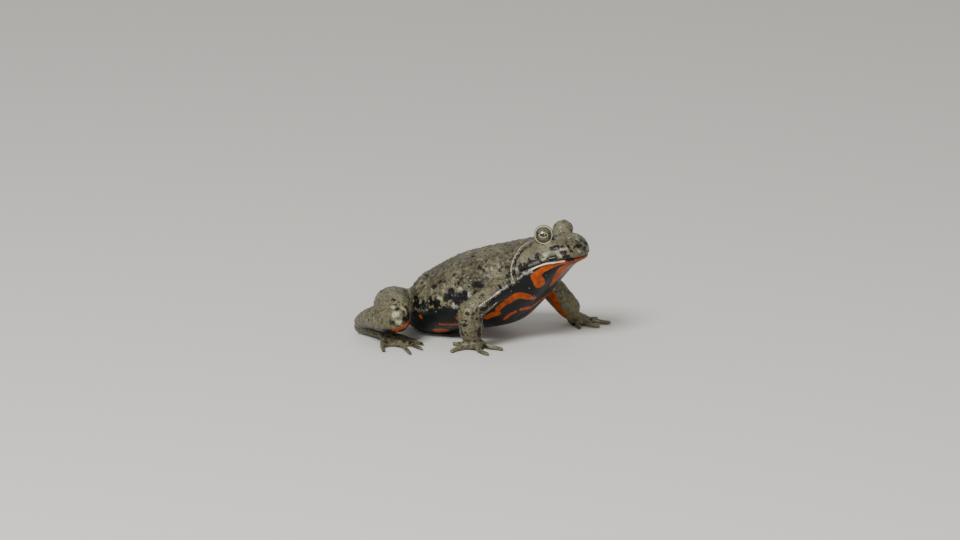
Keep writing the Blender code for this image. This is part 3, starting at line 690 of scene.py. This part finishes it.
BLACK = (
    # corner of the jaw and upper lip
    (((30.0, -8.2, 16.4), (30.7, -8.0, 16.7)), 0.68),
    (((31.5, -7.8, 17.3), (32.0, -7.5, 17.7)), 0.34),
    (((32.8, -7.3, 18.1), (33.0, -6.9, 18.9)), 0.45),
    (((33.8, -7.3, 17.9), (35.0, -6.9, 18.3)), 0.3),
    (((35.6, -6.7, 18.4), (36.6, -6.3, 18.7)), 0.42),
    (((38.1, -5.4, 18.7), (38.9, -4.5, 18.8)), 0.24),
    # cheek and snout
    (((35.6, -5.8, 20.3), (36.6, -5.3, 20.5)), 0.48),
    (((37.7, -5.4, 19.5), (38.1, -5.1, 19.6)), 0.42),
    (((38.4, -3.9, 20.8), (38.5, -4.0, 20.7)), 0.3),
    (((39.4, -2.1, 20.5), (39.6, -1.1, 20.4)), 0.42),
    (((38.9, -1.0, 21.1), (39.0, -1.0, 21.0)), 0.26),
    (((37.3, -4.9, 20.6), (37.5, -4.8, 20.7)), 0.22),
    (((39.1, -4.2, 19.8), (39.2, -3.9, 19.8)), 0.24),
    (((40.0, -0.4, 19.7), (40.1, 0.0, 19.3)), 0.26),
    (((34.7, -4.4, 22.2), (35.2, -4.1, 21.9)), 0.26),
    # in front of the fold
    (((28.7, -6.4, 18.8), (29.1, -6.0, 19.2)), 0.24),
    (((28.3, -7.3, 17.5), (28.5, -6.8, 18.3)), 0.3),
    (((28.3, -7.9, 16.4), (28.3, -7.6, 17.0)), 0.26),
    (((28.4, -8.5, 14.9), (28.4, -8.2, 15.6)), 0.24),
    (((36.5, -6.4, 17.6), (36.9, -6.1, 17.7)), 0.22),
    (((38.5, -4.6, 18.0), (39.2, -3.5, 18.0)), 0.3),
    # shoulder and foreleg
    (((21.0, -10.7, 12.4), (22.2, -10.2, 12.7)), 0.62),
    (((26.6, -11.1, 12.7), (27.0, -11.1, 12.3)), 0.4),
    (((27.2, -8.6, 14.3), (27.6, -8.5, 14.7)), 0.5),
    (((26.0, -13.8, 9.7), (26.3, -13.2, 10.2)), 0.6),
    (((25.1, -15.5, 8.8), (25.5, -14.8, 9.0)), 0.45),
    (((24.7, -15.7, 8.0), (24.5, -15.1, 6.5)), 0.3),
    (((21.5, -17.1, 5.6), (22.0, -17.2, 5.7)), 0.3),
    (((22.7, -17.7, 8.2), (22.8, -17.8, 8.1)), 0.24),
    (((20.7, -16.0, 3.5), (21.0, -16.1, 3.5)), 0.25),
    (((24.1, -15.1, 4.7), (23.8, -14.7, 3.2)), 0.35),
    # flank
    (((17.6, -11.4, 9.7), (17.7, -11.6, 8.5)), 0.85),
    (((18.9, -11.2, 10.8), (18.9, -11.2, 9.6)), 0.5),
    (((16.0, -11.6, 10.8), (16.2, -11.6, 9.9)), 0.7),
    (((17.1, -11.5, 7.0), (17.6, -11.4, 7.8)), 0.5),
    (((15.1, -11.5, 9.9), (15.5, -11.7, 9.4)), 0.5),
    (((13.0, -11.7, 8.6), (12.9, -11.7, 7.8)), 0.65),
    (((11.2, -11.2, 8.8), (11.4, -11.5, 7.8)), 0.4),
    (((9.3, -10.8, 8.1), (9.5, -11.1, 7.5)), 0.3),
    (((7.3, -9.9, 8.5), (7.6, -10.3, 7.9)), 0.6),
    # back
    (((11.4, -10.3, 11.1), (12.0, -10.6, 11.2)), 0.42),
    (((17.2, -10.8, 12.6), (17.3, -10.9, 12.5)), 0.3),
    (((19.8, -10.6, 13.7), (19.9, -10.6, 13.7)), 0.22),
    (((8.1, -6.6, 12.7), (8.7, -7.3, 12.7)), 0.3),
    (((15.8, -9.8, 13.8), (15.9, -9.9, 13.8)), 0.24),
    (((21.1, -9.4, 16.0), (21.2, -9.4, 15.9)), 0.28),
    (((17.9, -6.0, 17.5), (18.2, -6.1, 17.5)), 0.28),
    (((26.6, -7.8, 16.2), (26.8, -7.8, 16.2)), 0.3),
    (((12.8, -10.3, 12.4), (12.8, -10.4, 12.3)), 0.26),
    # knee
    (((9.9, -20.0, 6.3), (10.4, -19.4, 6.0)), 0.5),
    (((8.3, -20.1, 7.9), (8.4, -20.3, 7.6)), 0.36),
    (((9.6, -18.3, 8.7), (10.4, -18.2, 8.2)), 0.3),
    (((7.8, -21.4, 5.6), (8.1, -21.3, 5.5)), 0.34),
    (((6.4, -18.4, 9.6), (6.9, -18.5, 9.5)), 0.3),
    (((7.4, -19.4, 8.9), (7.5, -19.5, 8.8)), 0.24),
    (((11.1, -18.2, 7.1), (11.2, -18.0, 6.1)), 0.34),
    (((2.8, -17.8, 8.0), (3.0, -18.0, 8.1)), 0.26),
)
PALE = (
    # lips, cheek and snout
    (((34.2, -7.1, 18.1), (34.5, -6.9, 18.3)), 0.24),
    (((34.4, -6.6, 19.2), (34.6, -6.8, 18.8)), 0.3),
    (((37.2, -5.8, 19.2), (37.4, -5.7, 19.0)), 0.3),
    (((37.3, -5.3, 20.2), (38.2, -4.5, 20.2)), 0.14),
    (((39.8, -2.4, 19.6), (40.0, -1.8, 19.3)), 0.26),
    (((38.2, -0.3, 21.5), (38.6, -0.2, 21.3)), 0.14),
    (((37.2, -1.2, 21.9), (37.4, -1.7, 21.7)), 0.14),
    (((28.2, -7.9, 16.0), (29.0, -8.2, 16.0)), 0.14),
    # flank and knee
    (((17.7, -11.2, 11.4), (18.1, -11.0, 11.5)), 0.3),
    (((13.2, -11.6, 9.2), (13.9, -11.8, 9.3)), 0.3),
    (((8.1, -21.0, 7.1), (8.4, -20.6, 7.3)), 0.5),
    (((8.7, -20.8, 5.8), (8.9, -20.5, 5.7)), 0.4),
    (((7.3, -20.0, 8.6), (7.5, -20.2, 8.4)), 0.35),
    (((8.9, -19.3, 8.1), (9.5, -18.9, 7.6)), 0.3),
)
SHEEN_AND_PALE_STREAKS = (
    # painted wet sheen over pale streaks in the skin: the pale grey band from the corner of the jaw to the
    # foreleg, and the flank behind the elbow
    (
        (
            (26.5, -12.2, 11.6),
            (27.0, -11.2, 12.1),
            (27.4, -10.3, 12.4),
            (27.8, -9.3, 12.8),
            (28.4, -8.5, 13.4),
        ),
        0.24,
    ),
    (
        ((28.4, -8.5, 13.4), (29.3, -8.3, 14.1), (30.2, -8.3, 14.8), (31.2, -8.2, 15.5), (32.1, -7.9, 16.0)),
        0.28,
    ),
    (((19.9, -11.1, 10.4), (20.3, -11.1, 9.8)), 0.36),
    (((16.6, -11.7, 8.0), (17.2, -11.6, 7.7)), 0.42),
    (((18.6, -11.5, 8.3), (18.9, -11.5, 8.1)), 0.22),
)
PAINTED_HIGHLIGHTS = (
    # painted wet highlights: lower lip, foreleg and elbow fold
    (((32.1, -7.9, 16.1), (33.2, -7.4, 16.7), (34.9, -6.8, 17.35), (36.4, -6.2, 17.6)), 0.13),
    (((36.4, -6.2, 17.6), (37.2, -5.7, 17.75), (38.0, -5.1, 17.85)), 0.1),
    (((24.8, -15.6, 7.9), (24.7, -15.2, 7.0)), 0.09),
    (((26.2, -12.9, 9.2), (26.5, -11.9, 9.6)), 0.1),
)
ARM_HIGHLIGHT_COUNT = 14
ARM_HIGHLIGHT_RADIUS = 0.13
BELLY_PATCHES = 26
FLANK_HALF = 1.1
places = read(skin.data.vertices, "co", 3)
right_places = mirrored(places)


def inside(lines, on=right_places):
    """How deep each place lies in the nearest of these marks, in millimetres."""
    deepest = np.full(len(on), -9.0)
    for line, half_width in lines:
        length = np.linalg.norm(np.diff(line, axis=0), axis=1).sum()
        gap, _ = from_line(on, line, 2 + int(2.5 * length / half_width))
        deepest = np.maximum(deepest, half_width - gap)
    return deepest


above_mouth, in_mouth = mouth_fields(places)
below_body = np.interp(places[:, 0], *zip(*FLANK_LINE)) - places[:, 2]
below_body = below_body * (1.0 - in_mouth) - above_mouth * in_mouth
limb_depth, limb_under = limb_fields(places)
body_half_width = np.interp(places[:, 0], *zip(*[(row[0], row[2]) for row in BODY_STATIONS]))
on_limb = np.maximum(ramp(limb_depth, -1.2, -0.3), ramp(np.abs(places[:, 1]) - body_half_width, 0.6, 1.4))
on_limb *= 1.0 - arm_root(places)
belly = below_body * (1.0 - on_limb) + (6.0 * limb_under - 3.8) * on_limb
orange = np.maximum(inside(ORANGE), inside(THROAT_ORANGE, places))
hidden = (places[:, 2] < 2.0) | ((places[:, 1] > 0.0) & (places[:, 2] < 9.0))
hidden &= (belly > 1.5) & (orange < -1.2)
seen = 3.0 * ramp(-places[:, 1], 0.0, 2.0) * ramp(places[:, 2], 2.0, 3.4) + 1.5 * on_limb
patch_centres = places[draw.choice(np.flatnonzero(hidden), BELLY_PATCHES, replace=False)]
for centre in patch_centres:
    stretch = draw.uniform(0.6, 1.5, 3)
    gap = np.linalg.norm((places - centre) / stretch, axis=1)
    depth = (draw.uniform(0.9, 1.7) - gap) * ramp(belly, 0.5, 1.5) - 0.4 * (1.0 - ramp(belly, 0.5, 1.5))
    orange = np.maximum(orange, depth - seen)
keep(skin.data, "belly", belly)
orange = np.minimum(orange, 9.0 * (1.0 - in_mouth) - above_mouth - 0.1)
keep(skin.data, "orange", np.maximum(orange, inside(LIMB_ORANGE)))
keep(skin.data, "black", inside(BLACK))
keep(skin.data, "pale", inside(PALE))
# pale grey streaks: painted wet sheen laid over pale streaks in the skin
keep(skin.data, "sheen_and_pale", inside(SHEEN_AND_PALE_STREAKS))
# a row of small painted wet highlights along the foreleg
highlight_places = through(ARM_HIGHLIGHT_LINE, np.linspace(0.0, 1.0, ARM_HIGHLIGHT_COUNT))
arm_highlights = tuple(((dot, dot), ARM_HIGHLIGHT_RADIUS) for dot in highlight_places)
keep(skin.data, "painted_highlight", inside(PAINTED_HIGHLIGHTS + arm_highlights))
behind = ramp(places[:, 0], 22.0, 24.0)
keep(skin.data, "flank", FLANK_HALF - np.abs(below_body + FLANK_HALF) - 4.0 * np.maximum(on_limb, behind))
keep(skin.data, "limb", on_limb)
fold_gap, furrow = fold_fields(places)
shoulder_gap, _ = from_line(right_places, SHOULDER_CREASE)
# the mouth line, the furrow in front of the fold and the shoulder crease: painted shade in the creases
crease_shades = (bump(above_mouth, 0.12) * in_mouth, 0.65 * furrow, 0.6 * bump(shoulder_gap, 0.12))
keep(skin.data, "crease_shade", np.maximum.reduce(crease_shades))
keep(skin.data, "fold", bump(fold_gap, 0.15))
placed(skin.data)
skin.data.shade_smooth()

# Toad skin
# Living skin of a toad, wet from the water: granular and olive grey above, smooth, blue-black and
# flame red below. It is soft and dull itself, and a thin film of water gives it a broken sheen.
PER_MM = 1.0 / MM


def linear(hex_colour):
    """An sRGB hex colour as linear light."""
    channels = [int(hex_colour[start : start + 2], 16) / 255 for start in (1, 3, 5)]
    return (*[c / 12.92 if c <= 0.04045 else ((c + 0.055) / 1.055) ** 2.4 for c in channels], 1.0)


def add_node(tree, kind, inputs=(), output=0, **settings):
    """Adds one shader node with its settings and its inputs, and returns one of its outputs."""
    made = tree.nodes.new("ShaderNode" + kind)
    for name, value in settings.items():
        setattr(made, name, value)
    for name, value in dict(inputs).items():
        if isinstance(value, bpy.types.NodeSocket):
            tree.links.new(value, made.inputs[name])
        else:
            made.inputs[name].default_value = value
    return made.outputs[output]


def paint(tree, colour, layers):
    """Lays colours over each other. Each layer starts and is full at a value of its own field."""
    for field, start, full, strength, over in layers:
        inputs = {"Value": field, "From Min": start, "From Max": full, "To Max": strength}
        share = add_node(tree, "MapRange", inputs, interpolation_type="SMOOTHSTEP")
        colour = add_node(tree, "MixRGB", {"Fac": share, "Color1": colour, "Color2": over})
    return colour


toad_skin = bpy.data.materials.new("wet_toad_skin")
toad_skin.use_nodes = True
tree = toad_skin.node_tree
shader = tree.nodes["Principled BSDF"]
where = add_node(tree, "TexCoord", output="Object")
NOISES = {
    # size in mm, detail, roughness
    "cloud": (3.2, 3.0, 0.55),
    "net": (0.75, 3.0, 0.65),
    "speck": (1.25, 2.0, 0.5),
    "blot": (2.1, 2.5, 0.55),
    "ragged": (1.1, 3.0, 0.6),
    "frayed": (0.45, 2.0, 0.6),
    "film": (1.6, 2.0, 0.5),
}
noise = {}
for name, (size, detail, rough) in NOISES.items():
    inputs = {"Vector": where, "Scale": PER_MM / size, "Detail": detail, "Roughness": rough}
    noise[name] = add_node(tree, "TexNoise", inputs)
GRAIN_SIZE = 0.42
DOT_SPACING = 1.9
grain = add_node(tree, "TexVoronoi", {"Vector": where, "Scale": PER_MM / GRAIN_SIZE})
dots = add_node(tree, "TexVoronoi", {"Vector": where, "Scale": PER_MM / DOT_SPACING})
ATTRIBUTES = ("belly", "orange", "black", "pale", "sheen_and_pale", "painted_highlight", "flank", "fold", "wart", "dark_wart")
ATTRIBUTES += ("limb", "smooth", "crease_shade", "pit")
field = {name: add_node(tree, "Attribute", output="Fac", attribute_name=name) for name in ATTRIBUTES}
RAGGED_EDGES = (
    # field, the noise that shakes its edge, how far in mm
    ("belly", "ragged", 2.6),
    ("orange", "frayed", 0.45),
    ("black", "frayed", 1.1),
    ("pale", "frayed", 1.1),
    ("sheen_and_pale", "net", 2.4),
    ("flank", "ragged", 2.4),
    ("dark_wart", "frayed", 1.2),
)
for name, rough_edge, amount in RAGGED_EDGES:
    inputs = {0: noise[rough_edge], 1: amount, 2: field[name]}
    shaken = add_node(tree, "Math", inputs, operation="MULTIPLY_ADD")
    field[name] = add_node(tree, "Math", {0: shaken, 1: amount / 2}, operation="SUBTRACT")
spotted = add_node(tree, "Math", {0: field["limb"], 1: 0.01, 2: noise["blot"]}, operation="MULTIPLY_ADD")
net = add_node(tree, "Math", {0: field["smooth"], 1: 0.08, 2: noise["net"]}, operation="MULTIPLY_ADD")
# darker in the gaps between the raised granules: painted shade
granule_gap_shade = add_node(tree, "Math", {0: field["smooth"], 1: -0.4, 2: grain}, operation="MULTIPLY_ADD")

# A thin pale edge runs round each lid, at this distance from the eye's axis and this far forward
LID_EDGE = 1.72
LID_EDGE_LEVEL = 0.55
LID_EDGE_REACH = 0.45
off_edges = []
for centre, look in EYEBALLS.values():
    away = add_node(tree, "VectorMath", {0: where, 1: (centre + shift) * MM}, operation="SUBTRACT")
    level = add_node(tree, "VectorMath", {0: away, 1: look}, output="Value", operation="DOT_PRODUCT")
    on_axis = add_node(tree, "VectorMath", {0: look, "Scale": level}, operation="SCALE")
    wide = add_node(tree, "VectorMath", {0: away, 1: on_axis}, output="Value", operation="DISTANCE")
    off_round = add_node(tree, "Math", {0: wide, 1: LID_EDGE * MM}, operation="SUBTRACT")
    off_round = add_node(tree, "Math", {0: off_round}, operation="ABSOLUTE")
    off_level = add_node(tree, "Math", {0: level, 1: LID_EDGE_LEVEL * MM}, operation="SUBTRACT")
    off_level = add_node(tree, "Math", {0: off_level}, operation="ABSOLUTE")
    off_level = add_node(tree, "Math", {0: off_level, 1: LID_EDGE_REACH * MM}, operation="SUBTRACT")
    off_edges.append(add_node(tree, "Math", {0: off_round, 1: off_level}, operation="MAXIMUM"))
off_edge = add_node(tree, "Math", dict(enumerate(off_edges)), operation="MINIMUM")

back_layers = (
    (noise["cloud"], 0.36, 0.64, 1.0, linear("#6A6650")),
    (field["limb"], 0.2, 1.0, 0.3, linear("#7A745A")),
    (net, 0.54, 0.40, 0.7, linear("#2C291D")),
    # painted shade in the gaps between the granules
    (granule_gap_shade, 0.22, 0.55, 0.4, linear("#252218")),
    # taller warts painted lighter: painted light on their raised tops
    (field["wart"], 0.35, 1.1, 0.45, linear("#7F7A60")),
    (noise["speck"], 0.63, 0.68, 0.9, linear("#15130E")),
    (spotted, 0.655, 0.69, 1.0, linear("#14120D")),
    (field["dark_wart"], 0.45, 0.6, 0.95, linear("#110F0B")),
)
back = paint(tree, linear("#524D3C"), back_layers)
marble = paint(tree, linear("#100F0C"), ((noise["ragged"], 0.5, 0.6, 1.0, linear("#67634A")),))
below_layers = (
    (noise["cloud"], 0.4, 0.7, 1.0, linear("#181C1E")),
    (dots, 0.09, 0.05, 0.7, linear("#8D9294")),
)
below = paint(tree, linear("#0B0D0E"), below_layers)
flame = paint(tree, linear("#883400"), ((noise["ragged"], 0.35, 0.7, 1.0, linear("#A64C00")),))
whole_layers = (
    (field["flank"], -0.1, 0.25, 1.0, marble),
    (field["belly"], -0.05, 0.3, 1.0, below),
    (field["orange"], -0.16, 0.04, 1.0, flame),
    (field["black"], -0.2, 0.06, 0.97, linear("#080608")),
    (field["pale"], -0.25, 0.2, 0.8, linear("#9C9C7C")),
    # painted wet sheen over pale streaks: pale grey band by the jaw and patches behind the elbow
    (field["sheen_and_pale"], -0.2, 0.4, 0.8, linear("#9B9894")),
    # painted wet highlights on the lower lip, the foreleg and the elbow fold
    (field["painted_highlight"], -0.06, 0.04, 0.9, linear("#D0D0C4")),
    (field["fold"], 0.1, 0.9, 0.65, linear("#B7AF8E")),
    (off_edge, 0.09 * MM, 0.04 * MM, 0.85, linear("#B7AF8E")),
    # painted shade in the mouth line, the furrow and the shoulder crease
    (field["crease_shade"], 0.0, 1.0, 1.0, linear("#090806")),
    # painted shade inside the nostril pits
    (field["pit"], 0.15, 0.6, 1.0, linear("#050404")),
)
tree.links.new(paint(tree, back, whole_layers), shader.inputs["Base Color"])
grain_height = add_node(tree, "Math", {0: field["smooth"], 1: 0.6, 2: -0.8}, operation="MULTIPLY_ADD")
relief = add_node(tree, "Math", {0: grain, 1: grain_height, 2: noise["frayed"]}, operation="MULTIPLY_ADD")
smooth_below = {"Value": field["belly"], "From Min": -0.2, "From Max": 0.8, "To Min": 0.75, "To Max": 0.12}
inputs = {"Strength": add_node(tree, "MapRange", smooth_below), "Distance": 0.11 * MM, "Height": relief}
tree.links.new(add_node(tree, "Bump", inputs), shader.inputs["Normal"])
wetness = {"Value": noise["film"], "From Min": 0.3, "From Max": 0.7, "To Min": 0.4, "To Max": 0.65}
film = add_node(tree, "MapRange", wetness)
tree.links.new(film, shader.inputs["Roughness"])
shader.inputs["IOR"].default_value = 1.36
shader.inputs["Specular IOR Level"].default_value = 0.3
shader.inputs["Coat Weight"].default_value = 0.25
shader.inputs["Coat Roughness"].default_value = 0.1
shader.inputs["Coat IOR"].default_value = 1.33
skin.data.materials.append(toad_skin)
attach(skin, "root")
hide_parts(*[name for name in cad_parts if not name.startswith("eye")])

# Eyes
# A glossy ball in each socket. The iris is dull gold mottled with black, round a pupil that is a lying
# lens with pointed ends and a bright edge. The clear cornea over it gives one sharp glint.
PUPIL_HALF = (0.88, 0.40)
IRIS_EDGE = (1.34, 1.46)
OUTSIDE_IRIS = (1.6, 0.0, 0.0)
wet_iris = bpy.data.materials.new("wet_gold_iris")
wet_iris.use_nodes = True
tree = wet_iris.node_tree
shader = tree.nodes["Principled BSDF"]
gaze = add_node(tree, "Attribute", output="Vector", attribute_name="gaze")
flat = tree.nodes.new("ShaderNodeSeparateXYZ")
tree.links.new(gaze, flat.inputs[0])
across = add_node(tree, "Math", {0: flat.outputs[0]}, operation="ABSOLUTE")
up = add_node(tree, "Math", {0: flat.outputs[1]}, operation="ABSOLUTE")
reach = add_node(tree, "VectorMath", {0: gaze}, output="Value", operation="LENGTH")
mottle = add_node(tree, "TexNoise", {"Vector": gaze, "Scale": 6.5, "Detail": 4.0, "Roughness": 0.65})
wide = add_node(tree, "Math", {0: across, 1: PUPIL_HALF[0]}, operation="DIVIDE")
wide = add_node(tree, "Math", {0: wide, 1: 2.0}, operation="POWER")
lens_edge = add_node(tree, "Math", {0: up, 1: 1.0 / PUPIL_HALF[1], 2: wide}, operation="MULTIPLY_ADD")
corner = add_node(tree, "Math", {0: up, 1: -1.1, 2: across}, operation="MULTIPLY_ADD")
iris_layers = (
    (mottle, 0.40, 0.60, 1.0, linear("#625E3E")),
    (corner, 0.35, 0.75, 0.9, linear("#100D08")),
    (lens_edge, 1.42, 1.2, 0.9, linear("#B8AE86")),
    (lens_edge, 1.06, 1.0, 1.0, linear("#040303")),
    (reach, *IRIS_EDGE, 1.0, linear("#0C0A07")),
)
tree.links.new(paint(tree, linear("#322F1C"), iris_layers), shader.inputs["Base Color"])
shader.inputs["Roughness"].default_value = 0.3
shader.inputs["Coat Weight"].default_value = 1.0
shader.inputs["Coat Roughness"].default_value = 0.02
shader.inputs["Coat IOR"].default_value = 1.38
for side, (centre, look) in EYEBALLS.items():
    ball = bmesh.new()
    bmesh.ops.create_uvsphere(ball, u_segments=72, v_segments=48, radius=EYEBALL_RADIUS)
    ball_mesh = bpy.data.meshes.new("eyeball_" + side)
    look = Vector(look)
    level = Vector((0.0, 0.0, 1.0)).cross(look).normalized()
    over = look.cross(level)
    turn = Matrix((level, over, look)).transposed()
    own = np.array([vertex.co for vertex in ball.verts])
    bmesh.ops.transform(ball, matrix=Matrix.Translation(centre) @ turn.to_4x4(), verts=ball.verts)
    ball.to_mesh(ball_mesh)
    ball.free()
    flat_gaze = own * (1.0, 1.0, 0.0)
    flat_gaze[own[:, 2] < 0.0] = OUTSIDE_IRIS
    ball_mesh.attributes.new("gaze", "FLOAT_VECTOR", "POINT").data.foreach_set(
        "vector", flat_gaze.astype(np.float32).ravel()
    )
    placed(ball_mesh)
    ball_mesh.shade_smooth()
    ball_mesh.materials.append(wet_iris)
    eyeball = bpy.data.objects.new("eyeball_" + side, ball_mesh)
    bpy.context.scene.collection.objects.link(eyeball)
    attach(eyeball, "root")
    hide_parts("eye_" + side)

# Floor, light and camera
# A plain pale floor under soft studio light from the upper left, and the camera far off and low, a
# little in front of the toad's right side.
FLOOR_HALF = 4.0
floor_shape = bmesh.new()
bmesh.ops.create_grid(floor_shape, x_segments=1, y_segments=1, size=FLOOR_HALF)
floor_mesh = bpy.data.meshes.new("floor")
floor_shape.to_mesh(floor_mesh)
floor_shape.free()
floor = bpy.data.objects.new("floor", floor_mesh)
bpy.context.scene.collection.objects.link(floor)
floor_paint = bpy.data.materials.new("pale_floor")
floor_paint.use_nodes = True
shader = floor_paint.node_tree.nodes["Principled BSDF"]
shader.inputs["Base Color"].default_value = linear("#CFCDC8")
shader.inputs["Roughness"].default_value = 0.7
floor_mesh.materials.append(floor_paint)

world = bpy.data.worlds.new("studio")
world.use_nodes = True
world.node_tree.nodes["Background"].inputs["Color"].default_value = linear("#EAE9E4")
world.node_tree.nodes["Background"].inputs["Strength"].default_value = 0.5
bpy.context.scene.world = world
LAMPS = (
    # name, place and size in metres, watts
    ("key", (0.0, -0.66, 0.62), 0.3, 10.2),
    ("fill", (0.66, -0.74, 0.26), 0.14, 2.2),
    ("back", (-0.4, 0.6, 0.6), 0.5, 0.7),
)
for name, place, size, watts in LAMPS:
    lamp = bpy.data.lights.new(name, "AREA")
    lamp.energy = watts
    lamp.size = size
    light = bpy.data.objects.new(name, lamp)
    light.location = place
    light.rotation_euler = (-Vector(place)).to_track_quat("-Z", "Y").to_euler()
    bpy.context.scene.collection.objects.link(light)

VIEW_AZIMUTH = math.radians(26)
VIEW_ELEVATION = math.radians(12)
CAMERA_DISTANCE = 1.077
AIM = np.array((16.85, 0.0, 13.08))
lens = bpy.data.cameras.new("camera")
lens.lens = 200
lens.sensor_width = 36
lens.clip_start = 0.01
camera = bpy.data.objects.new("camera", lens)
backwards = Vector(
    (
        math.sin(VIEW_AZIMUTH) * math.cos(VIEW_ELEVATION),
        -math.cos(VIEW_AZIMUTH) * math.cos(VIEW_ELEVATION),
        math.sin(VIEW_ELEVATION),
    )
)
camera.location = Vector((AIM + shift) * MM) + backwards * CAMERA_DISTANCE
camera.rotation_euler = backwards.to_track_quat("Z", "Y").to_euler()
bpy.context.scene.collection.objects.link(camera)
bpy.context.scene.camera = camera
